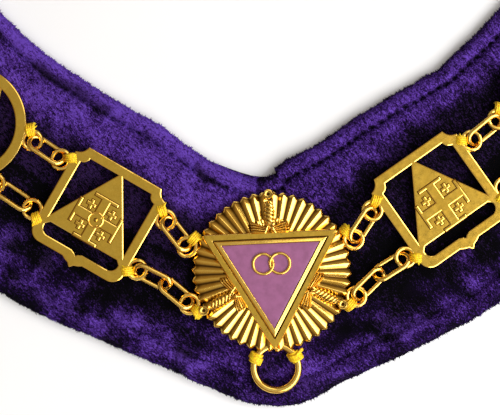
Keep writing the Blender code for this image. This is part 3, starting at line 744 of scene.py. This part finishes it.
def sunburst(shape):
    """Rays with a sharp ridge and a sharp groove, on a low dome with a scalloped rim."""
    spokes = []
    for ray in range(MEDALLION_RAYS):
        for step in RAY_STEPS:
            depth = (abs(2 * step - 1) - 0.05) / 0.9      # 0 on the ridge and 1 in the groove
            spokes.append((2 * pi * (ray + step) / MEDALLION_RAYS, min(max(depth, 0.0), 1.0)))
    points, tones = [], []
    for share, drop, rim_shade in SUNBURST_ROWS:
        r = min(share, 1.0)
        dome = RIM_TOP + (DOME_TOP - RIM_TOP) * min((1 - r) / (1 - DOME_FLAT), 1.0) - drop * MM
        for angle, groove in spokes:
            reach = MEDALLION_RADIUS * r - RIM_NOTCH * groove**1.5 * max(share - 0.6, 0) / 0.4
            points.append((reach * cos(angle), reach * sin(angle), dome - RAY_DEPTH * r**0.9 * groove))
            # Painted shade darkens the deep part of each groove and the rim's outer wall
            tones.append(min(1.10 * max(groove - 0.48, 0) / 0.52 + rim_shade, 1))
    # The foot at the metal's base, with a little painted shade
    for angle, groove in spokes:
        reach = MEDALLION_RADIUS - RIM_NOTCH * groove**1.5
        points.append((reach * cos(angle), reach * sin(angle), METAL_BASE))
        tones.append(0.3)
    count, rows = len(spokes), len(SUNBURST_ROWS) + 1
    faces = [face[::-1] for face in strips(rows, count)]
    faces += [tuple(range(count)), tuple(reversed(range((rows - 1) * count, rows * count)))]
    shape.add(points, faces, tone=tones)


def soft_triangle(side, corner):
    """An upside-down triangle with rounded corners."""
    reach = side / sqrt(3) - 2 * corner
    points = []
    for direction in (30, 150, 270):
        points += arc(polar(reach, direction), corner, direction - 60, direction + 60, 6)
    return points


def stacked_triangles(rows):
    """Rounded triangles by their inset from the edge, level and corner radius in mm."""
    points = []
    for inset, level, corner in rows:
        side = TRIANGLE_SIDE - 2 * sqrt(3) * inset * MM
        points += [(x, y, level * MM) for x, y in soft_triangle(side, corner * MM)]
    return points, len(points) // len(rows)


def triangle_frame(shape):
    """The raised border, its bright bevels, the tray's wall and the ledge round the enamel."""
    # Inset from the edge and level in mm, corner radius, tone and finish: 1 is satin. A groove with a hollow
    # flank lies inside the border, and a lip stands round the enamel. Tone is painted shade: in the groove,
    # at the lip's inner foot and at the border's foot.
    rows = ((0.00, 6.90, 0.90, 0.3, 0), (0.00, 10.85, 0.90, 0.0, 0), (0.08, 11.10, 0.85, 0.0, 0),
            (0.45, 11.62, 0.60, 0.0, 0), (0.56, 11.70, 0.55, 0.0, 1), (2.50, 11.70, 0.35, 0.0, 0),
            (2.60, 11.62, 0.35, 0.6, 0), (2.72, 10.90, 0.30, 1.0, 0), (2.84, 10.88, 0.30, 0.9, 0),
            (3.04, 11.04, 0.30, 0.4, 0), (3.35, 11.24, 0.30, 0.0, 0), (3.80, 11.38, 0.25, 0.0, 0),
            (4.30, 11.44, 0.25, 0.0, 0), (4.42, 11.50, 0.22, 0.0, 0), (4.66, 11.52, 0.20, 0.0, 0),
            (4.80, 11.42, 0.20, 0.2, 0), (4.86, 10.70, 0.20, 0.6, 0), (5.20, 10.60, 0.20, 0.0, 0))
    points, count = stacked_triangles([row[:3] for row in rows])
    faces = strips(len(rows), count) + [tuple(range((len(rows) - 1) * count, len(rows) * count))]
    shape.add(points, faces, part=[row[4] for row in rows[:-1] for _ in range(count)] + [0],
              tone=[row[3] for row in rows for _ in range(count)])


def turned(rows, sides, place, bend=None):
    """A turned piece along local X: rows of (along, radius); bend(along, angle) scales a radius."""
    points = []
    for along, radius in rows:
        for k in range(sides):
            angle = 2 * pi * k / sides
            r = radius * (bend(along, angle) if bend else 1.0)
            points.append(place @ Vector((along, r * cos(angle), r * sin(angle))))
    return points, skin(len(rows), sides)


def bead(shape, long, wide, tip, steps, sides, place, tone=0.0):
    """An oval bead; in mm, half its length, half its width and the radius of its ends."""
    rows = [(-long * MM * cos(pi * i / steps), max(wide * sin(pi * i / steps), tip) * MM)
            for i in range(steps + 1)]
    shape.add(*turned(rows, sides, place), tone=tone)


def sword_hilt(shape, direction):
    """A rope-twisted grip, a drilled pommel and a fluted guard that spreads like two fans."""
    foot = TRIANGLE_EDGE - 0.4 * MM
    start = foot + GUARD_WAIST / 2
    length = MEDALLION_RADIUS + 1.4 * MM - start
    turn = turn_by(direction) @ move(start, 0, RIM_TOP + 0.1 * MM)
    grip = length * (GRIP_SHARES[1] - GRIP_SHARES[0])
    shares = np.linspace(*GRIP_SHARES, 90)
    rows = list(zip(shares * length, np.interp(shares, *zip(*GRIP_PROFILE)) * 2.4 * MM))

    def rib(along, angle):
        # A slanting rope: ribs run along and round the grip
        return abs(sin(pi * (GRIP_RIBS * along / grip + GRIP_TWISTS * angle / (2 * pi))))

    points, faces = turned(rows, GRIP_SIDES, turn, lambda a, k: 0.82 + 0.24 * rib(a, k)**0.8)
    # Painted shade darkens the grooves between the ribs
    tones = [max(0.5 - rib(a, 2 * pi * k / GRIP_SIDES), 0) / 0.5 for a, _ in rows for k in range(GRIP_SIDES)]
    shape.add(points, faces, tone=tones)
    # The pommel is a flat round knob with a raised rim and a drilled hole
    points, tones = [], []
    for radius, level, tone in KNOB_RINGS:
        points += ring_path((0, 0, level * MM), radius * MM, KNOB_SIDES)
        tones += [tone] * KNOB_SIDES
    shape.add(points, skin(len(KNOB_RINGS), KNOB_SIDES), tone=tones,
              place=turn @ move(KNOB_SHARE * length, 0, 0))
    # Each fan of the guard has flutes that run out from the grip's foot
    for side in (-1, 1):
        across, along, points, tones = 4 * GUARD_FLUTES * 2 + 1, 18, [], []
        for i in range(along):
            t = i / (along - 1)
            out = side * (0.7 * MM + t * (GUARD_LENGTH / 2 - 0.7 * MM))
            spread = GUARD_WAIST * 0.75 + (GUARD_WIDTH - GUARD_WAIST * 0.75) * min(t * 1.25, 1.0)
            for k in range(across):
                share = k / (across - 1)
                flute = abs(sin(pi * GUARD_FLUTES * share))
                round_end = 0.9 * max(t - 0.9, 0) / 0.1
                z = 1.5 + 0.85 * sin(pi * min(share * 0.86 + 0.07, 1.0)) + 0.75 * flute**0.8 - round_end
                reach = out + side * (0.5 * MM * flute * (t > 0.95))
                points.append(turn @ Vector((foot - start + share * spread, reach, z * MM)))
                # Painted shade darkens the hollows between the flutes, and a little of it the underside
                tones.append(0.95 * max(0.5 - flute, 0) / 0.5)
            for share in (1.0, 0.0):
                points.append(turn @ Vector((foot - start + share * spread, out, -1.2 * MM)))
                tones.append(0.5)
        faces = skin(along, across + 2)
        shape.add(points, faces if side < 0 else [face[::-1] for face in faces], tone=tones)
    # Two small claws hold the grip's foot
    for side in (-1, 1):
        path = [turn @ Vector(((2.6 - 4.0 * t) * MM, side * (0.75 + 1.5 * t**1.6) * MM,
                               (2.0 + 0.7 * sin(pi * t)) * MM)) for t in np.linspace(0, 1, 10)]
        shape.wire(path, [(0.30 + 0.22 * t) * MM for t in np.linspace(0, 1, 10)], 8)


def leaf(shape, side):
    """A small curled leaf beside the upper grip, just above the guard."""
    base = TRIANGLE_EDGE + 2.6 * MM
    for number in range(3):
        path, radii = [], []
        for i in range(12):
            t = i / 11
            x = side * (2.6 + number * 1.9 + 1.2 * t) * MM
            y = base + (0.2 + (2.6 - 0.6 * number) * sin(t * 2.2)) * MM
            path.append((x, y, RIM_TOP + (0.35 + 0.25 * sin(pi * t)) * MM))
            radii.append((0.20 + 0.38 * sin(pi * min(t + 0.12, 1.0))) * MM)
        shape.wire(path, radii, 8)


def add_loops(shape, station, sides=(-1, 1)):
    for (side, _), spot in station.spots.items():
        if side in sides:
            shape.wire(ring_path(spot, LOOP_RADIUS, 36), LOOP_SHOWN / 2, 12, closed=True)


def make_medallion(station):
    shape = Shape()
    sunburst(shape)
    triangle_frame(shape)
    for direction in HILT_DIRECTIONS:
        sword_hilt(shape, direction)
    for side in (-1, 1):
        leaf(shape, side)
    # A small cast bead where the triangle's foot meets the rim
    bead(shape, 1.1, 1.1, 0.04, 8, 16, move(1.0 * MM, -32.6 * MM, 9.6 * MM))
    add_loops(shape, station)
    shape.wire(ring_path((0, RING_MIDDLE, RING_LEVEL), RING_RADIUS, 72), RING_WIRE / 2, 20, closed=True)
    return shape.build("medallion_casting", [CAST, SATIN], 28, station.place)


def make_enamel(station):
    """Enamel that sinks a little towards its middle."""
    rows = ((4.86, 10.62), (4.86, 11.00), (4.95, 11.13), (5.15, 11.20), (6.5, 11.18), (9.0, 11.15),
            (12.0, 11.14))
    points, count = stacked_triangles([(*row, 0.25) for row in rows])
    shape = Shape().add(points, skin(len(rows), count))
    return shape.build("enamel_field", [ENAMEL], place=station.place)


def make_motif(station):
    """Two plain interlaced rings of fine raised wire."""
    shape = Shape()
    for side in (-1, 1):
        path = []
        for i in range(56):
            angle = 2 * pi * i / 56
            x, y = 4.2 * MM * cos(angle) + side * 3.5 * MM, 4.2 * MM * sin(angle) + 3.5 * MM
            # Each ring passes over the other at one crossing and under it at the next
            over = 0.22 * MM * side * (1 if y > 3.5 * MM else -1) * bell(abs(x), 1.1 * MM)
            path.append((x, y, ENAMEL_TOP + 0.12 * MM + over))
        shape.wire(path, MOTIF_WIRE / 2, 12, closed=True)
    return shape.build("interlaced_rings", [POLISHED], place=station.place)


# Plates

WINDOW_HALF = SQUARE_WIDTH / 2 - SQUARE_BAND
WINDOW_TOP = SQUARE_HEIGHT / 2 - SQUARE_BAND
SLOT_HEIGHT = 5.4 * MM
TRIANGLE_BASE = SLOT_HEIGHT - WINDOW_TOP      # of the plate's upright triangle
TRIANGLE_FOOT = 3.0 * MM                      # its sides stand upright up to this height
TRIANGLE_TIP = 1.2 * MM                       # half its width at the top
SLOT_CHAMFER = 1.6 * MM
CROSS_SIZE = 20.6 * MM
CROSS_ARM = 4.2 * MM
CROSS_END = 1.5 * MM
CROSS_END_BAR = 11.2 * MM
SMALL_CROSS = 4.2 * MM
SMALL_CROSS_BAR = 1.5 * MM
SMALL_CROSS_OUT = 4.9 * MM
CROSS_TOP = PLATE_TOP + 0.4 * MM
# The width of the painted shade line at the foot of each relief
FOOT_SHADE = 0.24 * MM


def square_outline(inset):
    """The square plate's edge, or with an inset the inner edge of its band."""
    half, top = SQUARE_WIDTH / 2 - inset, SQUARE_HEIGHT / 2 - inset
    radius = 5.4 * MM - inset / 2
    notch = 3.1 * MM if inset else 4.3 * MM
    cusp = 1.5 * MM if inset else 3.0 * MM
    side = [(0.0, -top - cusp), (0.25 * cusp, -top - 0.82 * cusp), (0.45 * cusp, -top - 0.55 * cusp),
            (0.75 * cusp, -top - 0.42 * cusp), (1.1 * cusp, -top - 0.30 * cusp), (1.6 * cusp, -top)]
    side += arc((half - radius, radius - top), radius, -90, 0, 10)
    side += [(half, top - notch)]
    side += arc((half + 0.1 * notch, top + 0.1 * notch), 1.07 * notch, -101, -169, 8)
    side += [(half - notch, top)]
    return side + [(-x, y) for x, y in reversed(side) if x > 0]


def square_windows():
    """The two side windows and the slot round the upright triangle."""
    outline, base = square_outline(SQUARE_BAND), TRIANGLE_BASE
    window = [(WINDOW_HALF, base + TRIANGLE_FOOT)] + [p for p in outline if p[0] > 0 and p[1] > 0]
    window += [(TRIANGLE_TIP, WINDOW_TOP)]
    low = [p for p in outline if p[1] < base - SLOT_CHAMFER]
    slot = [p for p in low if p[0] >= 0]
    slot += [(WINDOW_HALF, base - SLOT_CHAMFER), (WINDOW_HALF - SLOT_CHAMFER, base)]
    slot += [(SLOT_CHAMFER - WINDOW_HALF, base), (-WINDOW_HALF, base - SLOT_CHAMFER)]
    slot += [p for p in low if p[0] < 0]
    return [window, [(-x, y) for x, y in window], slot]


def cross_outline(size, width, middle, end=None):
    reach, half = size / 2, width / 2
    arm = [(reach, -half), (reach, half)]
    if end:
        neck, tip = reach - end[0], end[1] / 2
        arm = [(neck, -half), (neck, -tip), (reach, -tip), (reach, tip), (neck, tip), (neck, half)]
    arm.append((half, half))
    points = []
    for c, s in ((1, 0), (0, 1), (-1, 0), (0, -1)):
        points += [(x * c - y * s + middle[0], x * s + y * c + middle[1]) for x, y in arm]
    return points


def clip_to_triangle(outline):
    """Cut an outline at the sloping sides of the plate's triangle."""
    foot = TRIANGLE_BASE + TRIANGLE_FOOT

    def over(side, p):
        rise = (p[1] - foot) / (WINDOW_TOP - foot)
        return side * p[0] - (TRIANGLE_TIP + (WINDOW_HALF - TRIANGLE_TIP) * (1 - rise))

    for side in (-1, 1):
        kept = []
        for a, b in zip(outline, outline[1:] + outline[:1]):
            fa, fb = over(side, a), over(side, b)
            if fa <= 0:
                kept.append(a)
            if fa * fb < 0:
                share = fa / (fa - fb)
                kept.append((a[0] + (b[0] - a[0]) * share, a[1] + (b[1] - a[1]) * share))
        outline = kept
    return outline


def add_plate(shape, outlines, bottom, top, bevel):
    points, faces, level = flat_plate(outlines, bottom, top, bevel)
    shape.add(points, faces, part=[int(flat) for flat in level])


def add_relief(shape, outline, bevel):
    """A raised figure on a plate, with a brown line of painted shade at its foot."""
    add_plate(shape, [outline], PLATE_TOP - 0.7 * MM, CROSS_TOP, bevel)
    points, faces, _ = flat_plate([outline], PLATE_TOP - 0.2 * MM, PLATE_TOP + 0.03 * MM, 0.01 * MM,
                                  grow=FOOT_SHADE)
    shape.add(points, faces, tone=1.0)


def make_square_plate(name, station, with_ring, sides):
    shape = Shape()
    add_plate(shape, [square_outline(0)] + square_windows(), PLATE_BOTTOM, PLATE_TOP, 0.5 * MM)
    middle = TRIANGLE_BASE + CROSS_SIZE / 2
    large = cross_outline(CROSS_SIZE, CROSS_ARM, (0, middle), (CROSS_END, CROSS_END_BAR))
    add_relief(shape, clip_to_triangle(large), 0.46 * MM)
    for x in (-SMALL_CROSS_OUT, SMALL_CROSS_OUT):
        for y in (-SMALL_CROSS_OUT, SMALL_CROSS_OUT):
            small = cross_outline(SMALL_CROSS, SMALL_CROSS_BAR, (x, middle + y))
            add_relief(shape, clip_to_triangle(small), 0.34 * MM)
    if with_ring:
        path = ring_path((0, middle, CROSS_TOP), 3.1 * MM, 40)
        shape.wire(path, 0.42 * MM, 8, closed=True)
        # The bead inside the ring is darkened with painted shade
        bead(shape, 0.55, 0.9, 0.03, 6, 14, move(0, middle, CROSS_TOP) @ turn_by(90, "Y"), 0.6)
    add_loops(shape, station, sides)
    return shape.build(name, [POLISHED, SATIN], 20, station.place)


def make_round_plate(name, station, sides):
    shape = Shape()
    outer, inner = ROUND_DIAMETER / 2, ROUND_DIAMETER / 2 - ROUND_BAND
    add_plate(shape, [arc((0, 0), outer, 0, 357, 119), arc((0, 0), inner, 0, 356, 89)],
              PLATE_BOTTOM, PLATE_TOP, 0.5 * MM)
    reach = outer - ROUND_BAND / 2
    corners = [polar(reach, direction) for direction in (90, 210, 330)]
    add_plate(shape, [corners], PLATE_BOTTOM + 0.2 * MM, PLATE_TOP - 0.2 * MM, 0.25 * MM)
    add_loops(shape, station, sides)
    return shape.build(name, [POLISHED, SATIN], 20, station.place)


# Links


def make_link(name, centre, direction):
    straight = LINK_HALF_LENGTH - LINK_HALF_WIDTH
    path = []
    for side, first in ((1, -90), (-1, 90)):
        for x, y in arc((side * straight, 0), LINK_HALF_WIDTH, first, first + 180, 14):
            path.append((x, y, 0))
    place = (Matrix.Translation(centre) @ Matrix.Rotation(atan2(direction.y, direction.x), 4, "Z")
             @ Matrix.Rotation(asin(LINK_DROP / LINK_HALF_WIDTH), 4, "X"))
    return Shape().add(*tube(path, LINK_SHOWN / 2, 12, closed=True)).build(name, [POLISHED], 60, place)


def make_links(prefix, last, station, side):
    """The same links as in the CAD model, by node name."""
    made = {}
    start, end = last.loops[side, 1], station.loops[-side, 1]
    made[prefix + "_upper"] = ((start + end) / 2, end - start)
    start, end = last.loops[side, -1], station.loops[-side, -1]
    middle = (start + end) / 2
    if (end - start).length / 2 < LINK_HALF_LENGTH + LOOP_RADIUS - LINK_DROP:
        made[prefix + "_lower"] = (middle, end - start)
    else:
        across = (end - start).normalized()
        peak = middle + Vector((-across.y, across.x, 0)) * side * LOWER_ARCH
        for letter, spot in (("a", start), ("b", end)):
            direction = (peak - spot).normalized()
            centre = spot + direction * (LINK_HALF_LENGTH - LINK_BACK)
            made[prefix + "_lower_" + letter] = (centre, direction)
    return made


# Thread ties

THREAD_RADIUS = 0.45 * MM
TIE_TURN = 38                # degrees round a loop from the point nearest the plate
MEDALLION_TIE_TURN = 48
RING_TIE_ANGLES = (152, 28)   # on the hanging ring, left and right
TIE_SPREAD = 1.9 * MM        # how far past the wire the outer stitches go down into the velvet


def make_tie(name, place, seed):
    """Strands of thread over a loop's wire along local X, sewn down to the velvet beside it."""
    random = np.random.default_rng(seed)
    shape = Shape()
    drop = place.translation.z - (BAND_TOP - 0.5 * MM)
    over = LOOP_WIRE / 2 + THREAD_RADIUS
    for layer, count in ((0, 5), (1, 4)):
        for k in range(count):
            across = (k - (count - 1) / 2) * THREAD_RADIUS * 1.85
            skew = (0.5 + 0.25 * random.normal()) * MM
            lift = over + layer * THREAD_RADIUS * 1.5
            near, far = -(lift + 0.15 * MM), lift + (TIE_SPREAD if layer == 0 else 0.75 * TIE_SPREAD)
            path = []
            for i in range(15):
                angle = pi * i / 14
                y = near + (far - near) * (0.5 - 0.5 * cos(angle))
                z = -drop + (drop + lift) * sin(angle)**0.62
                path.append((across + skew * (i / 14 - 0.5), y, z))
            shape.wire(path, THREAD_RADIUS, 7)
    # A cut end stands out
    path = [Vector((1.2 * MM, 1.2 * MM, over + 0.4 * MM))]
    for step in range(5):
        path.append(path[-1] + Vector((0.32, 0.28 + 0.2 * random.normal(), 0.05 - 0.2 * step)) * MM)
    shape.wire(path, THREAD_RADIUS * 0.7, 7)
    return shape.build(name, [THREAD], 180, place)


def make_winding(name, place, seed, tail):
    """Thread wound round the hanging ring's wire in two layers, with a loose tail or without."""
    shape = Shape()
    wire, steps = RING_WIRE / 2, 16
    for layer, turns in ((0, 6), (1, 4)):
        path = []
        reach = wire + THREAD_RADIUS * (1.0 + 1.5 * layer)
        width = (turns - 1) * THREAD_RADIUS * 1.9
        for i in range(turns * steps + 1):
            t, angle = i / (turns * steps), 2 * pi * i / steps
            slant = (0.25 + 0.5 * layer) * MM * sin(angle + layer + seed)
            path.append((width * (t - 0.5) + slant, reach * cos(angle), reach * sin(angle)))
        shape.wire(path, THREAD_RADIUS, 7)
    if tail:
        reach = wire + THREAD_RADIUS
        path = [((0.4 + 1.2 * sin(pi * t)) * MM * (1 if t < 0.5 else 0.6),
                 -(0.3 * wire + 3.6 * MM * sin(pi * t)), reach + (0.9 - 1.9 * sin(pi * t)) * MM)
                for t in np.linspace(0, 1, 18)]
        shape.wire(path, THREAD_RADIUS, 7)
    return shape.build(name, [THREAD], 180, place)


def settle(item, slot, *nodes):
    """The piece rides on the body and stands for its nodes; slot is not used."""
    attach(item, "root")
    if nodes:
        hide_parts(*nodes)
    return item


def tie_on_loop(prefix, station, key, turn=TIE_TURN):
    """A tie where the loop's wire comes away from the plate, on the side away from the link."""
    side, level = key
    name = prefix + "_" + "lr"[side > 0] + "du"[level > 0]
    angle = 180 - turn * level if side > 0 else turn * level
    spot = station.spots[key] + Vector((*polar(LOOP_RADIUS, angle), 0))
    place = station.place @ move(*spot) @ turn_by(angle - 90)
    settle(make_tie(name, place, 5000 + int(station.along / MM) + side + 2 * level), "thread")


cloth = velvet_shape()
velvet = settle(cloth.build("velvet_collar", [VELVET], 180), "velvet", "velvet_band")
settle(pile_shape(cloth).build("velvet_pile", [PILE], 180), "velvet")

middle = Station(0.0, round_reach(MEDALLION_RADIUS))
settle(make_medallion(middle), "polished_gold", "medallion")
settle(make_enamel(middle), "enamel", "enamel_inlay")
settle(make_motif(middle), "polished_gold", "enamel_motif")
for key in middle.spots:
    tie_on_loop("tie_medallion", middle, key, MEDALLION_TIE_TURN)
for side, word in ((-1, "left"), (1, "right")):
    last = middle
    for number in range(1, PLATES_PER_SIDE + 1):
        square = number % 2 == 1
        reach = SQUARE_WIDTH / 2 + LOOP_RADIUS - LOOP_BITE if square else round_reach(ROUND_DIAMETER / 2)
        station = next_station(last, side, reach)
        sides = (-side,) if number == PLATES_PER_SIDE else (-1, 1)
        kind = "square" if square else "round"
        name = f"{kind}_plate_{word}_{number}"
        if square:
            plate = make_square_plate(name + "_finished", station, side < 0, sides)
        else:
            plate = make_round_plate(name + "_finished", station, sides)
        settle(plate, "satin_gold", name)
        for node, (centre, direction) in make_links(f"link_{word}_{number}", last, station, side).items():
            settle(make_link(node + "_wire", centre, direction), "polished_gold", node)
        for key in station.spots:
            if key[0] in sides:
                tie_on_loop(f"tie_{word}_{number}", station, key)
        last = station

for number, angle in enumerate(RING_TIE_ANGLES):
    spot = (*polar(RING_RADIUS, angle, (0, RING_MIDDLE)), RING_LEVEL)
    place = middle.place @ move(*spot) @ turn_by(angle + 90)
    settle(make_winding(f"tie_ring_{number}", place, number, number == 1), "thread")


# Floor, light and camera

FLOOR_HALF = 12.0
BRIGHT_WAY = (0.22, -0.16, 1.0)     # the room is brighter above and to the lower right
# From the dark side of the room to the bright one
ROOM_COLORS = ((0.02, (0.40, 0.39, 0.37)), (0.16, (0.10, 0.07, 0.04)), (0.28, (0.11, 0.075, 0.04)),
               (0.46, (0.28, 0.205, 0.125)), (0.62, (0.39, 0.32, 0.22)), (0.90, (0.54, 0.545, 0.56)))
LIGHT_AIM = (0, -0.14, 0)
LIGHT_DISTANCE = 1.0
# Name, degrees round the collar and up from the floor, width and height in metres, and watts
PANELS = (("right_panel", -26, 41, 1.75, 0.65, 17.6), ("upper_panel", 52, 60, 0.5, 0.4, 0.85))
CAMERA_SPOT = (-7.9 * MM, -165.4 * MM, 508.0 * MM)
CAMERA_TURN = -2.6     # degrees; the collar lies turned a little in the picture
CAMERA_LENS = 85.7


def make_floor():
    mesh = bpy.data.meshes.new("floor")
    mesh.from_pydata([(x * FLOOR_HALF, y * FLOOR_HALF, 0) for x, y in ((-1, -1), (1, -1), (1, 1), (-1, 1))],
                     [], [(0, 1, 2, 3)])
    nodes = Nodes("floor")
    color = nodes.ramp(nodes.noise(9, 2), (0.3, (0.88, 0.88, 0.89)), (0.7, (0.91, 0.91, 0.92)))
    mesh.materials.append(nodes.finish(Base_Color=color, Roughness=0.9))
    floor = make_object("floor", mesh)


def make_light(name, azimuth, rise, width, height, power):
    flat, up = polar(LIGHT_DISTANCE, rise)
    spot = Vector((*polar(flat, azimuth), up)) + Vector(LIGHT_AIM)
    data = bpy.data.lights.new(name, "AREA")
    data.shape = "RECTANGLE"
    data.size, data.size_y = width, height
    data.energy = power
    item = make_object(name, data)
    item.location = spot
    item.rotation_mode = "QUATERNION"
    item.rotation_quaternion = (Vector(LIGHT_AIM) - spot).to_track_quat("-Z", "Y")


def make_world():
    world = bpy.data.worlds.new("studio")
    world.use_nodes = True
    tree = world.node_tree
    place = tree.nodes.new("ShaderNodeTexCoord")
    slope = tree.nodes.new("ShaderNodeVectorMath")
    slope.operation = "DOT_PRODUCT"
    slope.inputs[1].default_value = BRIGHT_WAY
    ramp = tree.nodes.new("ShaderNodeValToRGB")
    tree.links.new(place.outputs["Generated"], slope.inputs[0])
    tree.links.new(slope.outputs["Value"], ramp.inputs["Fac"])
    fill_ramp(ramp.color_ramp, ROOM_COLORS)
    tree.links.new(ramp.outputs["Color"], tree.nodes["Background"].inputs["Color"])
    bpy.context.scene.world = world


def make_camera():
    data = bpy.data.cameras.new("camera")
    data.lens = CAMERA_LENS
    data.sensor_width = 36.0
    data.clip_start = 0.01
    camera = make_object("camera", data)
    camera.location = CAMERA_SPOT
    camera.rotation_euler = (0, 0, radians(CAMERA_TURN))
    bpy.context.scene.camera = camera


bpy.context.scene.view_settings.view_transform = "Standard"
make_floor()
make_world()
for panel in PANELS:
    make_light(*panel)
make_camera()
